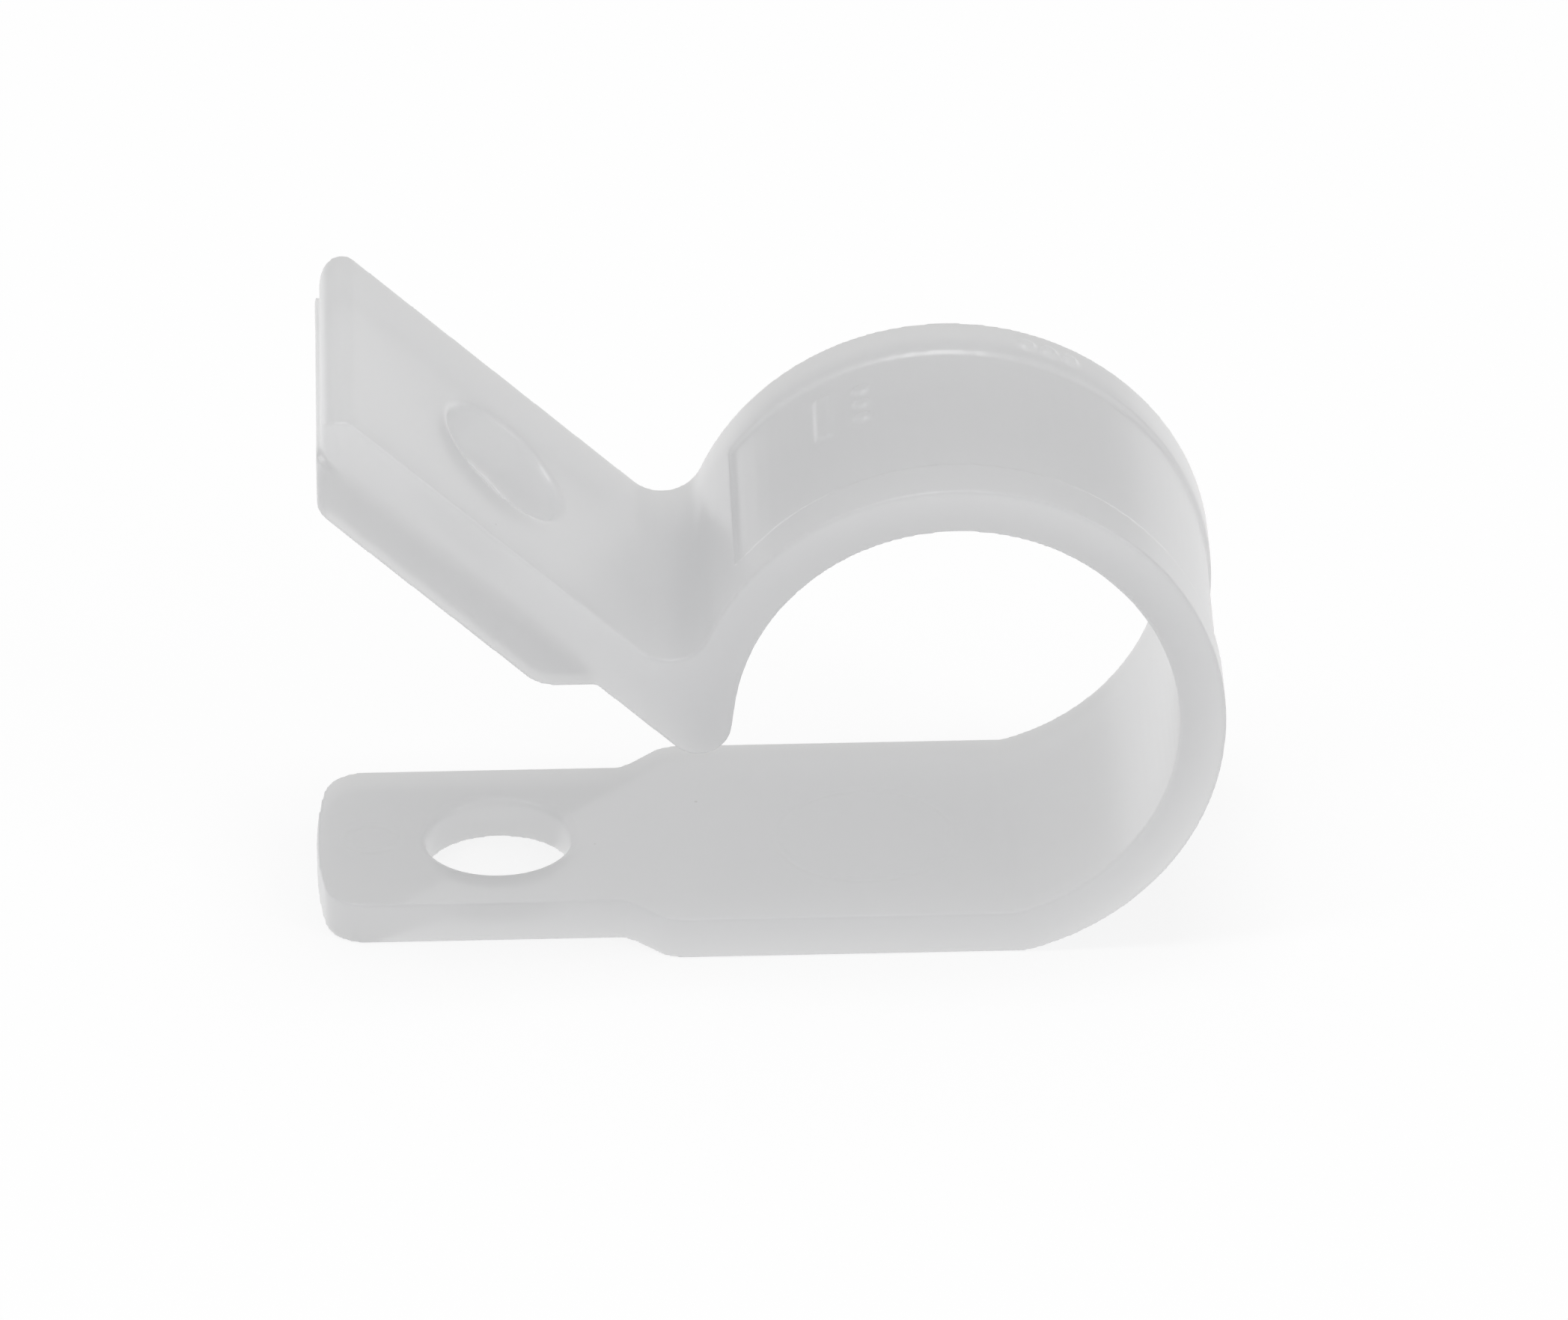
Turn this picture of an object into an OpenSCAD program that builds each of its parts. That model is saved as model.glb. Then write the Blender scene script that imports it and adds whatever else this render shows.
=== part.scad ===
// Cable clamp: a one-piece moulded nylon P clamp in its open, as-moulded shape.
// Millimetres, +Z up. The strap's underside lies on Z = 0, the lower screw hole is on the
// Z axis, the loop runs round an axis along Y and stands on the +X side of the hole.

/* [Strap] */
// Width of the strap, the loop and the upper tab
strap_w = 12.7; // [10:0.1:18]
// Thickness of the lower strap
strap_t = 1.6; // [1.3:0.05:1.9]
// Distance from the lower hole's axis to the lower tab's end
tab_reach = 6.6; // [5.8:0.05:9]
// Width of each side wall of the upper tab
wall_t = 1.35; // [1:0.05:2]
// Side play of the lower tab inside the upper tab
nest_gap = 0.15; // [0.05:0.05:0.3]
// Radius of the lower tab's two end corners
corner_r = 1.6; // [0.8:0.1:2.2]
// Radius of the lower tab's bowed end
end_bow_r = 22; // [18:1:60]
// Radius of the shoulders where the strap narrows
shoulder_r = 1.5; // [1:0.1:2]
// Slope of the shoulders across the strap
shoulder_a = 44; // [38:1:44]
// Distance from the lower hole's axis to the full width of the strap
shoulder_x = 6.7; // [6:0.1:8]

/* [Screw holes] */
// Radius of both screw holes
hole_r = 2.65; // [2:0.05:3.2]
// Rounding on the rims of the holes
hole_edge_r = 0.3; // [0.1:0.02:0.36]

/* [Loop] */
// Inner radius of the loop
loop_r = 8; // [6:0.05:14]
// Wall of the loop at its two edge rims
rim_t = 1.68; // [1.55:0.01:2.2]
// Width of each edge rim
rim_w = 2.1; // [1.5:0.1:3]
// Depth of the channel between the rims
channel_d = 0.15; // [0.1:0.05:0.4]
// Rounding in the bottom corners of the channel
channel_r = 0.08; // [0.04:0.02:0.1]
// Gap from the lower hole's axis to the inside of the loop
loop_gap = 8.45; // [8:0.05:12]
// Depth of the loop's circle below the strap's top face, which runs on as a flat floor
loop_dip = 0.26; // [0.2:0.02:0.5]
// Angle where the round part of the loop ends, from +X over the top
loop_end = 172; // [171:1:174]
// Angle where the channel starts beside the neck
channel_top = 144; // [120:1:148]
// Angle where the channel stops above the strap
channel_low = -79; // [-80:1:-60]
// Depth of the V notch in the channel's lower end
channel_notch = 0.8; // [0.2:0.1:1.2]

/* [Upper tab] */
// Angle of the upper tab above the strap
open_angle = 43; // [35:0.5:46]
// Angle round the loop where the tab's top face leaves it
neck_angle = 169.4; // [166:0.1:171]
// Distance from the neck to the upper hole's axis, along the tab
tab_hole = 8.8; // [8.2:0.05:12]
// Distance from the lower hole's axis back to the upper tab's end, level with the strap
end_reach = 6.25; // [5.6:0.05:8]
// Thickness of the tab over the nest
plate_t = 2.1; // [1.8:0.05:2.4]
// Clearance under the side walls once the clamp is shut
seat_gap = 0.2; // [0.1:0.05:0.4]
// Fillet between the tab and the loop
neck_r = 1.5; // [1:0.1:2]
// Rounding of the neck's lower tip
tip_r = 1.2; // [1:0.05:1.3]
// Plan radius of the two end corners above the parting line
tab_corner_r = 0.9; // [0.6:0.1:3]
// Plan radius of the two end corners below the parting line
wall_corner_r = 0.5; // [0.3:0.05:0.8]
// Rounding of the tab's upper end edge
nose_r = 0.75; // [0.3:0.05:0.9]
// Step of the parting line round the tab's end
ledge = 0.18; // [0.1:0.02:0.3]
// Depth of the parting line below the tab's top face
ledge_drop = 1.9; // [1.5:0.05:2]
// Radius of the side walls' lower corner beside the neck
skirt_r = 1.5; // [0.8:0.1:2]
// Distance from the neck to the side walls' flat foot, along the tab
foot_gap = 2.65; // [2.2:0.05:3]

/* [Mould marks] */
// Radius of the large ejector mark on the strap
mark_r = 3.4; // [2.5:0.1:3.6]
// Distance of the large ejector mark's centre from the middle of the strap
mark_y = 0.5; // [0:0.1:1]
// Radius of the small ejector mark at the tab's end
mark_small_r = 1.1; // [0.8:0.1:1.2]
// Width of the line round an ejector mark
mark_w = 0.28; // [0.2:0.02:0.4]
// Depth of the ejector marks
mark_d = 0.07; // [0.04:0.01:0.1]
// Radius of the cavity pips
pip_r = 0.3; // [0.2:0.02:0.4]
// Height of the cavity pips and bar
pip_h = 0.14; // [0.08:0.02:0.2]

/* [Hidden] */
$fn = 96;
eps = 0.01;
// How far a round stands proud of the flat it runs into
blend = 0.002;
half_w = strap_w / 2;
tab_w = strap_w - 2 * wall_t - 2 * nest_gap;
skirt_d = strap_t - seat_gap;
tab_t = plate_t + skirt_d;
loop_x = loop_gap + loop_r;
loop_z = strap_t - loop_dip + loop_r;
outer_r = loop_r + rim_t;
mid_r = loop_r + rim_t / 2;
floor_r = outer_r - channel_d;
// Half the length of the flat floor in the loop
dip_x = sqrt(pow(loop_r, 2) - pow(loop_r - loop_dip, 2));
// The upper tab is drawn about the loop's axis: x along the tab towards the loop, z off its top face
turn = 270 - open_angle - neck_angle;
tab_top = -outer_r * cos(turn);
neck_x = -outer_r * sin(turn);
hole_x = neck_x - tab_hole;
plate_low = tab_top - plate_t;
tab_low = tab_top - tab_t;
// Centre of the neck fillet
fil_z = tab_top + neck_r;
fil_x = -sqrt(pow(outer_r + neck_r, 2) - fil_z * fil_z);
// Start and slope of the loop's straight end, in the tab's frame
end_a = loop_end + open_angle;
start_x = (loop_r - blend) * cos(end_a);
start_z = (loop_r - blend) * sin(end_a);
dir_x = -sin(end_a);
dir_z = cos(end_a);
// Centre of the neck's rounded tip: tip_r inside the loop's straight end and above the tab's underside
tip_z = plate_low + tip_r;
run = (tip_z - start_z - tip_r * sin(end_a)) / dir_z;
tip_x = start_x + run * dir_x + tip_r * cos(end_a);
// Length of tab drawn before its end is trimmed
tab_len = (loop_x + tab_reach) / cos(open_angle) + 4 * tab_t;
// Flat foot of the side walls, level with the strap: from the tab's underside to the walls' lower edge
foot_x = neck_x - foot_gap;
foot_end = foot_x - skirt_d / tan(open_angle);
skirt_cut = skirt_r * tan(open_angle / 2);
// End plane of the nose and the height of the nose rounding's centre
nose_reach = end_reach - ledge;
nose_z = loop_z + (tab_top - nose_r - (nose_r - nose_reach - loop_x) * sin(open_angle)) / cos(open_angle);
bow_y = tab_w / 2 - corner_r;
bow_x = end_bow_r - tab_reach;
corner_x = bow_x - sqrt(pow(end_bow_r - corner_r, 2) - bow_y * bow_y);

// Rectangle a by b about the origin with corners of radius r.
module round_rect(a, b, r) {
    square([a - 2 * r, b], center = true);
    square([a, b - 2 * r], center = true);
    for (sx = [-1, 1], sy = [-1, 1])
        translate([sx * (a / 2 - r), sy * (b / 2 - r)]) circle(r);
}

// Cutter for a hole of radius rad through a plate from Z = 0 to t, with rounded rims.
module hole_cut(rad, t, r) {
    translate([0, 0, -1]) cylinder(r = rad, h = t + 2);
    rotate_extrude() difference() {
        union() {
            translate([rad - eps, -eps]) square([r + eps, r + eps]);
            translate([rad - eps, t - r]) square([r + eps, r + eps]);
        }
        translate([rad + r, r]) circle(r);
        translate([rad + r, t - r]) circle(r);
    }
}

// Outline in the XZ plane drawn out to width w along Y, centred on Y = y.
module across(w, y = 0) {
    translate([0, y + w / 2, 0]) rotate([90, 0, 0]) linear_extrude(height = w) children();
}

// Frame of the loop: X and Z measured from the loop's axis.
module on_loop() {
    translate([loop_x, 0, loop_z]) children();
}

// Frame of the upper tab: origin on the loop's axis, x along the tab towards the loop.
module on_tab() {
    on_loop() rotate([0, open_angle, 0]) children();
}

// Plan of one sloped and rounded shoulder; side is 1 or -1.
module shoulder_plan(side) {
    mirror([0, side < 0 ? 1 : 0]) translate([shoulder_x, half_w - shoulder_r]) {
        circle(shoulder_r);
        rotate(shoulder_a) translate([-2 * shoulder_r, 0]) square([2 * shoulder_r, shoulder_r - blend]);
    }
}

// Plan of the lower strap: bowed end, rounded corners, narrow tab, shoulders and the full width.
module strap_plan() {
    translate([shoulder_x, -half_w]) square([loop_x + dip_x + loop_dip - shoulder_x, strap_w]);
    translate([corner_x, -tab_w / 2]) square([shoulder_x + shoulder_r - corner_x, tab_w]);
    for (s = [-1, 1]) {
        shoulder_plan(s);
        translate([corner_x, s * bow_y]) circle(corner_r);
    }
    intersection() {
        translate([bow_x, 0]) circle(end_bow_r - blend);
        polygon([[bow_x, 0], [2 * corner_x - bow_x, 2 * bow_y], [2 * corner_x - bow_x, -2 * bow_y]]);
        translate([-2 * tab_reach, -half_w]) square([2 * tab_reach + corner_x + eps, strap_w]);
    }
}

// Lower strap, whose top face runs on as the loop's flat floor.
module lower_strap() {
    linear_extrude(height = strap_t) strap_plan();
}

// Outline of the loop above the mounting plane, from the strap round to its straight end.
module loop_outline() {
    difference() {
        circle(outer_r);
        circle(loop_r);
        polygon([[0, 0], 2 * outer_r * [cos(loop_end), sin(loop_end)], -2 * outer_r * [1, 1], [0, -2 * outer_r]]);
        translate([-2 * outer_r, -loop_z - outer_r]) square([4 * outer_r, outer_r]);
    }
}

// Channel between the edge rims, with a V notch in its lower end.
module channel() {
    difference() {
        on_loop() rotate([90, 0, 0]) rotate([0, 0, channel_low]) rotate_extrude(angle = channel_top - channel_low)
            translate([floor_r + 1, 0]) round_rect(2, strap_w - 2 * rim_w, channel_r);
        translate([loop_x + outer_r * cos(channel_low), 0, -1]) linear_extrude(height = 3)
            polygon([[-2, -half_w], [0, -half_w], [0, rim_w - half_w], [channel_notch, 0],
                     [0, half_w - rim_w], [0, half_w], [-2, half_w]]);
    }
}

// Outline of the neck in the tab's frame: the loop's straight end, its round tip and the filleted web.
module neck_outline() {
    translate([start_x, start_z]) rotate(end_a) translate([0, -rim_t / 4]) square([rim_t, run + rim_t / 4]);
    translate([tip_x, tip_z]) circle(tip_r + blend);
    difference() {
        polygon([
            [fil_x, tab_top - plate_t / 2], [fil_x, fil_z],
            [fil_x * mid_r / (outer_r + neck_r), fil_z * mid_r / (outer_r + neck_r)],
            [mid_r * cos(end_a), mid_r * sin(end_a)], [tip_x, tip_z]]);
        translate([fil_x, fil_z]) circle(neck_r + blend);
    }
}

// Loop with its channel, and the neck.
module loop() {
    difference() {
        on_loop() across(strap_w) loop_outline();
        channel();
    }
    on_tab() across(strap_w) neck_outline();
}

// Outline of the tab's plate in the tab's frame, before its end is trimmed.
module plate_outline() {
    translate([tip_x - tab_len, plate_low]) square([tab_len, plate_t]);
}

// Outline of a side wall in the tab's frame, with its level foot, before its end is trimmed.
module wall_outline() {
    difference() {
        polygon([[tip_x - tab_len, plate_low + eps], [tip_x - tab_len, tab_low], [foot_end, tab_low],
                 [foot_x, plate_low], [foot_x, plate_low + eps]]);
        difference() {
            polygon([[foot_end - skirt_cut, tab_low - 1], [foot_end - skirt_cut, tab_low],
                     [foot_end - skirt_cut, tab_low + skirt_r],
                     [foot_end + skirt_cut * cos(open_angle), tab_low + skirt_cut * sin(open_angle)],
                     [foot_end + 1, tab_low - 1]]);
            translate([foot_end - skirt_cut, tab_low + skirt_r]) circle(skirt_r + blend);
        }
    }
}

// Upright envelope that trims the tab's end at X = -reach, with corners of radius r in plan.
module end_trim(reach, r) {
    translate([-reach, 0, 0]) linear_extrude(height = 4 * outer_r) {
        for (s = [-1, 1]) translate([r, s * (half_w - r)]) circle(r);
        translate([0, r - half_w]) square([tab_len, strap_w - 2 * r]);
        translate([r, -half_w]) square([tab_len, strap_w]);
    }
}

// What lies outside the tab's rounded upper end edge.
module nose_outline() {
    difference() {
        polygon([
            [-nose_reach - 1, nose_z], [nose_r - nose_reach, nose_z],
            [nose_r * (1 + sin(open_angle)) - nose_reach, nose_z + nose_r * cos(open_angle)],
            [nose_r + (nose_r + 1) * sin(open_angle) - nose_reach, nose_z + (nose_r + 1) * cos(open_angle)],
            [-nose_reach - 1, nose_z + 3]]);
        translate([nose_r - nose_reach, nose_z]) circle(nose_r + blend);
    }
}

// Upper tab: plate with the nest between two side walls, upright end, parting step and screw hole.
module upper_tab() {
    difference() {
        intersection() {
            on_tab() {
                across(strap_w) plate_outline();
                for (s = [-1, 1]) across(wall_t, s * (half_w - wall_t / 2)) wall_outline();
            }
            end_trim(end_reach, wall_corner_r);
        }
        difference() {
            on_tab() translate([tip_x - tab_len, -strap_w, tab_top - ledge_drop])
                cube([tab_len, 2 * strap_w, ledge_drop + 1]);
            end_trim(nose_reach, tab_corner_r);
        }
        across(strap_w + 2) nose_outline();
        on_tab() translate([hole_x, 0, plate_low]) hole_cut(hole_r, plate_t, hole_edge_r);
    }
}

// Line left round an ejector pin on the strap's top face.
module ejector_mark(rad) {
    translate([0, 0, strap_t - mark_d]) rotate_extrude() translate([rad - mark_w, 0]) square([mark_w, 1]);
}

// Raised cavity marks: a plain bar and pips on the channel's floor, pips on one rim.
module cavity_marks() {
    on_loop() rotate([90, 0, 0]) {
        rotate([0, 0, 118]) translate([floor_r - 0.3, -pip_r, -3]) cube([0.3 + pip_h, 2 * pip_r, 3]);
        for (k = [0, 1, 2]) {
            rotate([0, 0, 109]) translate([floor_r - 0.3, 0, -0.5 - k]) rotate([0, 90, 0])
                cylinder(r = pip_r, h = 0.3 + pip_h);
            rotate([0, 0, 62 + 5 * k]) translate([outer_r - 0.3, 0, rim_w / 2 - half_w]) rotate([0, 90, 0])
                cylinder(r = pip_r, h = 0.3 + pip_h);
        }
    }
}

module clamp_body() {
    color([0.86, 0.87, 0.88]) difference() {
        union() {
            lower_strap();
            loop();
            upper_tab();
            cavity_marks();
        }
        translate([0, 0, -strap_t]) hole_cut(hole_r, 2 * strap_t, hole_edge_r);
        translate([loop_x + 0.3 - mark_r, -mark_y, 0]) ejector_mark(mark_r);
        translate([-(tab_reach + hole_r) / 2, 0, 0]) ejector_mark(mark_small_r);
    }
}

clamp_body();
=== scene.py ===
"""One-piece moulded nylon cable clamp, dressed in the frame of its CAD model."""
import logging
import math
from dataclasses import dataclass
from enum import Enum

import bpy
from mathutils import Matrix, Vector


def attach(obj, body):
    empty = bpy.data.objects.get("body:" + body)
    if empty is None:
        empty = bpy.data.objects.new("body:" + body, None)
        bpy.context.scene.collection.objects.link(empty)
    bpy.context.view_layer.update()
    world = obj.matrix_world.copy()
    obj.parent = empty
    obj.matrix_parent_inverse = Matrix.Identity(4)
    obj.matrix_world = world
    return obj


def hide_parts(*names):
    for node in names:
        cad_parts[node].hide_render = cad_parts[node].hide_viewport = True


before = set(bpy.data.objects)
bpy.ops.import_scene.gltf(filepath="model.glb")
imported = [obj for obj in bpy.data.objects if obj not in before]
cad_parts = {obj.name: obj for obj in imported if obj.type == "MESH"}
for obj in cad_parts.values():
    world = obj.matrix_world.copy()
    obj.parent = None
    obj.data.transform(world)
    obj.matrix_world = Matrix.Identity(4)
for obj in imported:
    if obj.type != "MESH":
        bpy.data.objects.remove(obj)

MM = 0.001
log = logging.getLogger("cable_clamp")

Colour = tuple[float, float, float, float]
Point = tuple[float, float, float]

WHITE: Colour = (1.0, 1.0, 1.0, 1.0)

# Sockets of a Mix node that blends colours: several share a name, so they go by number.
MIX_SHARE = 0
MIX_FROM = 6
MIX_TO = 7
MIX_RESULT = 2


def deselect_all() -> None:
    """Clears the selection, which the loaded frame leaves full."""
    bpy.ops.object.select_all(action="DESELECT")


def make_active(piece: bpy.types.Object) -> None:
    """Makes one object the only selected and the active one.

    Args:
        piece: The object to work on.
    """
    deselect_all()
    piece.select_set(True)
    bpy.context.view_layer.objects.active = piece


def add_node(tree: bpy.types.NodeTree, kind: str, **settings: object) -> bpy.types.Node:
    """Adds a node to a tree.

    Args:
        tree: The node tree of a material or a group.
        kind: The node's type name.
        settings: Properties to set on the node.

    Returns:
        The new node.
    """
    node = tree.nodes.new(kind)
    for name, value in settings.items():
        setattr(node, name, value)
    return node


@dataclass(frozen=True)
class MouldSkin:
    """Cloudiness, dust and faint ripple of a moulded nylon skin, as one node group."""

    cloud_scale: float = 210.0
    cloud_detail: float = 3.0
    ripple_scale: float = 900.0
    ripple_detail: float = 2.0
    dust_scale: float = 300.0
    dust_share: float = 0.024  # a speck's radius, as a share of its cell
    dust_core: float = 0.5  # the full-strength part of that radius

    def group(self) -> bpy.types.NodeTree:
        """Builds the node group.

        Returns:
            A shader node group with Cloud, Dust and Ripple outputs.
        """
        tree = bpy.data.node_groups.new("mould_skin", "ShaderNodeTree")
        for name in ("Cloud", "Dust", "Ripple"):
            tree.interface.new_socket(name, in_out="OUTPUT", socket_type="NodeSocketFloat")
        out = add_node(tree, "NodeGroupOutput")
        coords = add_node(tree, "ShaderNodeTexCoord")
        cloud = add_node(tree, "ShaderNodeTexNoise")
        cloud.inputs["Scale"].default_value = self.cloud_scale
        cloud.inputs["Detail"].default_value = self.cloud_detail
        ripple = add_node(tree, "ShaderNodeTexNoise")
        ripple.inputs["Scale"].default_value = self.ripple_scale
        ripple.inputs["Detail"].default_value = self.ripple_detail
        cells = add_node(tree, "ShaderNodeTexVoronoi", feature="F1")
        cells.inputs["Scale"].default_value = self.dust_scale
        speck = add_node(tree, "ShaderNodeMapRange", clamp=True)
        speck.inputs["From Min"].default_value = self.dust_share
        speck.inputs["From Max"].default_value = self.dust_share * self.dust_core
        for texture in (cloud, ripple, cells):
            tree.links.new(coords.outputs["Object"], texture.inputs["Vector"])
        tree.links.new(cloud.outputs["Fac"], out.inputs["Cloud"])
        tree.links.new(ripple.outputs["Fac"], out.inputs["Ripple"])
        tree.links.new(cells.outputs["Distance"], speck.inputs["Value"])
        tree.links.new(speck.outputs["Result"], out.inputs["Dust"])
        return tree


@dataclass(frozen=True)
class NaturalNylon:
    """Finish of milky, uncoloured nylon: a soft gloss over a body that light soaks into."""

    milk_low: Colour = (0.628, 0.628, 0.643, 1.0)
    milk_high: Colour = (0.664, 0.672, 0.689, 1.0)
    dust: Colour = (0.36, 0.35, 0.34, 1.0)
    dust_depth: float = 0.45
    roughness_low: float = 0.29
    roughness_high: float = 0.37
    soak_weight: float = 1.0
    soak_depth: float = 0.03  # how far light travels inside, in metres
    soak_spread: Point = (1.0, 1.0, 1.0)  # the same for red, green and blue
    clearness: float = 0.05
    index: float = 1.53
    coat: float = 0.5
    coat_roughness: float = 0.25
    ripple: float = 0.02
    ripple_height: float = 0.1 * MM

    def material(self, skin: bpy.types.NodeTree) -> bpy.types.Material:
        """Builds the finish.

        Args:
            skin: The node group of the moulded skin.

        Returns:
            A node material.
        """
        material = bpy.data.materials.new("natural_nylon")
        material.use_nodes = True
        tree = material.node_tree
        shader = tree.nodes["Principled BSDF"]
        shader.inputs["Subsurface Weight"].default_value = self.soak_weight
        shader.inputs["Subsurface Radius"].default_value = self.soak_spread
        shader.inputs["Subsurface Scale"].default_value = self.soak_depth
        shader.inputs["Transmission Weight"].default_value = self.clearness
        shader.inputs["IOR"].default_value = self.index
        shader.inputs["Coat Weight"].default_value = self.coat
        shader.inputs["Coat Roughness"].default_value = self.coat_roughness
        surface = add_node(tree, "ShaderNodeGroup", node_tree=skin)
        milk = add_node(tree, "ShaderNodeMix", data_type="RGBA")
        milk.inputs[MIX_FROM].default_value = self.milk_low
        milk.inputs[MIX_TO].default_value = self.milk_high
        dusty = add_node(tree, "ShaderNodeMix", data_type="RGBA")
        dusty.inputs[MIX_TO].default_value = self.dust
        share = add_node(tree, "ShaderNodeMath", operation="MULTIPLY")
        share.inputs[1].default_value = self.dust_depth
        roughness = add_node(tree, "ShaderNodeMapRange")
        roughness.inputs["To Min"].default_value = self.roughness_low
        roughness.inputs["To Max"].default_value = self.roughness_high
        bump = add_node(tree, "ShaderNodeBump")
        bump.inputs["Strength"].default_value = self.ripple
        bump.inputs["Distance"].default_value = self.ripple_height
        tree.links.new(surface.outputs["Cloud"], milk.inputs[MIX_SHARE])
        tree.links.new(milk.outputs[MIX_RESULT], dusty.inputs[MIX_FROM])
        tree.links.new(surface.outputs["Dust"], share.inputs[0])
        tree.links.new(share.outputs["Value"], dusty.inputs[MIX_SHARE])
        tree.links.new(dusty.outputs[MIX_RESULT], shader.inputs["Base Color"])
        tree.links.new(surface.outputs["Cloud"], roughness.inputs["Value"])
        tree.links.new(roughness.outputs["Result"], shader.inputs["Roughness"])
        tree.links.new(surface.outputs["Ripple"], bump.inputs["Height"])
        tree.links.new(bump.outputs["Normal"], shader.inputs["Normal"])
        return material


@dataclass
class MouldedBody:
    """The clamp's one moulding: strap, loop, neck and upper tab, with every edge softened."""

    node: str = "clamp_body"
    weld: float = 0.0005 * MM
    grain: float = 0.1 * MM
    soften: float = 0.5
    passes: int = 6
    triangles: int = 190_000
    piece: bpy.types.Object | None = None

    def build(self) -> bpy.types.Object:
        """Copies the CAD node, merges it and softens its edges as the mould does.

        Returns:
            The finished piece.
        """
        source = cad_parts[self.node]
        self.piece = bpy.data.objects.new("moulded_body", source.data.copy())
        bpy.context.collection.objects.link(self.piece)
        self._merge()
        self._soften()
        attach(self.piece, "root")
        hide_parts(self.node)
        return self.piece

    def dress(self, material: bpy.types.Material) -> None:
        """Gives the moulding its finish."""
        self.piece.data.materials.clear()
        self.piece.data.materials.append(material)

    def _merge(self) -> None:
        """Joins the loose triangles into one skin."""
        make_active(self.piece)
        bpy.ops.object.mode_set(mode="EDIT")
        bpy.ops.mesh.select_all(action="SELECT")
        bpy.ops.mesh.remove_doubles(threshold=self.weld)
        bpy.ops.object.mode_set(mode="OBJECT")

    def _soften(self) -> None:
        """Redraws the skin as an even net of quads, rounds its edges and thins it."""
        net = self.piece.modifiers.new("even_net", "REMESH")
        net.mode = "VOXEL"
        net.voxel_size = self.grain
        net.use_smooth_shade = True
        self._apply(net)
        rounds = self.piece.modifiers.new("rounded_edges", "SMOOTH")
        rounds.factor = self.soften
        rounds.iterations = self.passes
        self._apply(rounds)
        thin = self.piece.modifiers.new("thinned_flats", "DECIMATE")
        triangles_now = 2 * len(self.piece.data.polygons)
        thin.ratio = min(1.0, self.triangles / triangles_now)
        self._apply(thin)
        bpy.ops.object.shade_smooth()

    def _apply(self, modifier: bpy.types.Modifier) -> None:
        """Applies one modifier to the moulding."""
        make_active(self.piece)
        bpy.ops.object.modifier_apply(modifier=modifier.name)


class Box(Enum):
    """Soft boxes of the studio."""

    LEFT = "left_box"
    RIGHT = "right_box"
    TOP = "top_box"


@dataclass(frozen=True)
class SoftBox:
    """A soft box: where it hangs, its width and height in metres, and its power in watts."""

    which: Box
    place: Point
    size: tuple[float, float]
    power: float

    def hang(self, target: Point) -> None:
        """Hangs the box and turns it to a point.

        Args:
            target: The point that the box faces.
        """
        lamp = bpy.data.lights.new(self.which.value, "AREA")
        lamp.shape = "RECTANGLE"
        lamp.size, lamp.size_y = self.size
        lamp.energy = self.power
        box = bpy.data.objects.new(self.which.value, lamp)
        bpy.context.collection.objects.link(box)
        box.location = self.place
        aim = Vector(target) - Vector(self.place)
        box.rotation_euler = aim.to_track_quat("-Z", "Y").to_euler()


@dataclass(frozen=True)
class LitTable:
    """Finish of the pale floor: a matt table with a dim glow of its own.

    The lift adds to the glow only where the floor is seen, directly, in the gloss or through
    the nylon, and brings it to white there.
    """

    pale: Colour = (0.26, 0.26, 0.26, 1.0)
    roughness: float = 0.9
    glow: float = 0.57
    lift: float = 0.21

    def material(self) -> bpy.types.Material:
        """Builds the finish.

        Returns:
            A node material.
        """
        material = bpy.data.materials.new("pale_floor")
        material.use_nodes = True
        tree = material.node_tree
        shader = tree.nodes["Principled BSDF"]
        shader.inputs["Base Color"].default_value = self.pale
        shader.inputs["Roughness"].default_value = self.roughness
        shader.inputs["Specular IOR Level"].default_value = 0.0
        shader.inputs["Emission Color"].default_value = WHITE
        path = add_node(tree, "ShaderNodeLightPath")
        seen = add_node(tree, "ShaderNodeMath", operation="MAXIMUM")
        seen_or_through = add_node(tree, "ShaderNodeMath", operation="MAXIMUM")
        glow = add_node(tree, "ShaderNodeMath", operation="MULTIPLY_ADD")
        glow.inputs[1].default_value = self.lift
        glow.inputs[2].default_value = self.glow
        tree.links.new(path.outputs["Is Camera Ray"], seen.inputs[0])
        tree.links.new(path.outputs["Is Glossy Ray"], seen.inputs[1])
        tree.links.new(seen.outputs["Value"], seen_or_through.inputs[0])
        tree.links.new(path.outputs["Is Transmission Ray"], seen_or_through.inputs[1])
        tree.links.new(seen_or_through.outputs["Value"], glow.inputs[0])
        tree.links.new(glow.outputs["Value"], shader.inputs["Emission Strength"])
        return material


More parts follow.
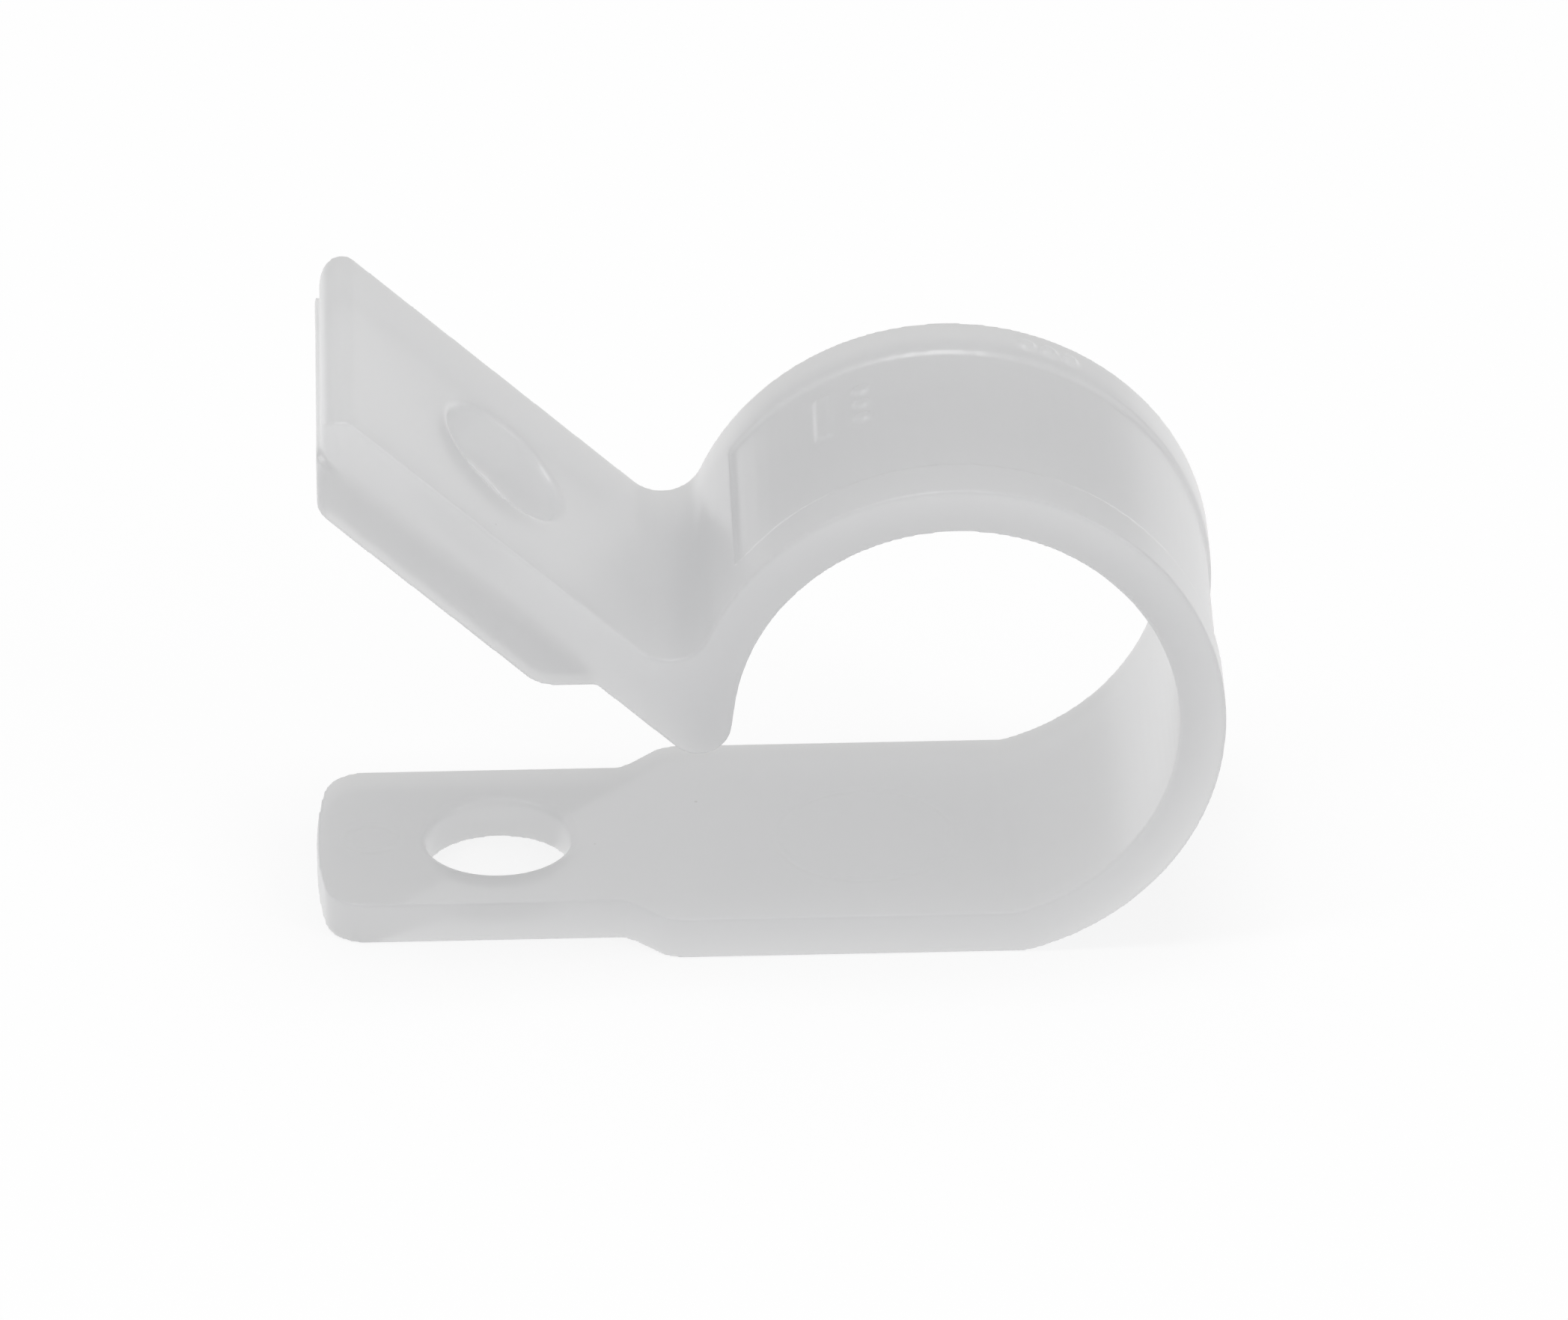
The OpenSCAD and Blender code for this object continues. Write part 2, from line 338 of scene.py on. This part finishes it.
@dataclass(frozen=True)
class Studio:
    """Pale floor, soft boxes and even room light."""

    floor_size: float = 3.0
    floor_drop: float = 0.02 * MM
    room: float = 0.55
    target: Point = (0.01, 0.0, 0.01)
    boxes: tuple[SoftBox, ...] = (
        SoftBox(Box.LEFT, (-0.25, -0.10, 0.55), (0.12, 0.40), 0.30),
        SoftBox(Box.RIGHT, (0.48, -0.32, 0.30), (0.12, 0.36), 0.30),
        SoftBox(Box.TOP, (0.01, 0.02, 0.70), (0.34, 0.26), 0.9),
    )

    def build(self) -> None:
        """Builds the floor, the room and the soft boxes."""
        self._floor()
        self._room()
        for box in self.boxes:
            box.hang(self.target)

    def _floor(self) -> None:
        """Lays the floor just under the clamp."""
        deselect_all()
        place = (0.0, 0.0, -self.floor_drop)
        bpy.ops.mesh.primitive_plane_add(size=self.floor_size, location=place)
        floor = bpy.context.object
        floor.name = "floor"
        floor.data.materials.append(LitTable().material())

    def _room(self) -> None:
        """Sets the even white light of the room."""
        world = bpy.data.worlds.new("room")
        bpy.context.scene.world = world
        world.use_nodes = True
        back = world.node_tree.nodes["Background"]
        back.inputs["Color"].default_value = WHITE
        back.inputs["Strength"].default_value = self.room


@dataclass(frozen=True)
class PhotoCamera:
    """Camera at the photograph's viewpoint."""

    place: Point = (-2.348 * MM, -517.868 * MM, 301.964 * MM)
    heading: float = math.radians(-1.415)
    dip: float = math.radians(29.516)
    roll: float = math.radians(-0.447)
    lens: float = 378.04
    sensor: float = 36.0
    near_clip: float = 0.02

    def build(self) -> None:
        """Sets the camera up and makes it the scene's."""
        data = bpy.data.cameras.new("photo_camera")
        data.sensor_fit = "HORIZONTAL"
        data.sensor_width = self.sensor
        data.lens = self.lens
        data.clip_start = self.near_clip
        camera = bpy.data.objects.new("photo_camera", data)
        bpy.context.collection.objects.link(camera)
        camera.matrix_world = Matrix.Translation(self.place) @ self._turn()
        bpy.context.scene.camera = camera

    def _turn(self) -> Matrix:
        """Works out the camera's turn from its heading, dip and roll.

        Returns:
            A 4 by 4 rotation matrix.
        """
        right = Vector((math.cos(self.heading), math.sin(self.heading), 0.0))
        ahead = Vector((-math.sin(self.heading) * math.cos(self.dip),
                        math.cos(self.heading) * math.cos(self.dip), -math.sin(self.dip)))
        up = right.cross(ahead)
        c, s = math.cos(self.roll), math.sin(self.roll)
        x_axis, y_axis = c * right + s * up, c * up - s * right
        return Matrix((x_axis, y_axis, -ahead)).transposed().to_4x4()


def main() -> None:
    """Builds the clamp, the studio and the camera, and logs the moulding's face count."""
    logging.basicConfig(level=logging.INFO, format="%(name)s: %(message)s")
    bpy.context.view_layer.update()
    body = MouldedBody()
    piece = body.build()
    body.dress(NaturalNylon().material(MouldSkin().group()))
    log.info("%s: %d faces", piece.name, len(piece.data.polygons))
    Studio().build()
    PhotoCamera().build()
    bpy.context.scene.view_settings.view_transform = "Standard"


if __name__ == "__main__":
    main()
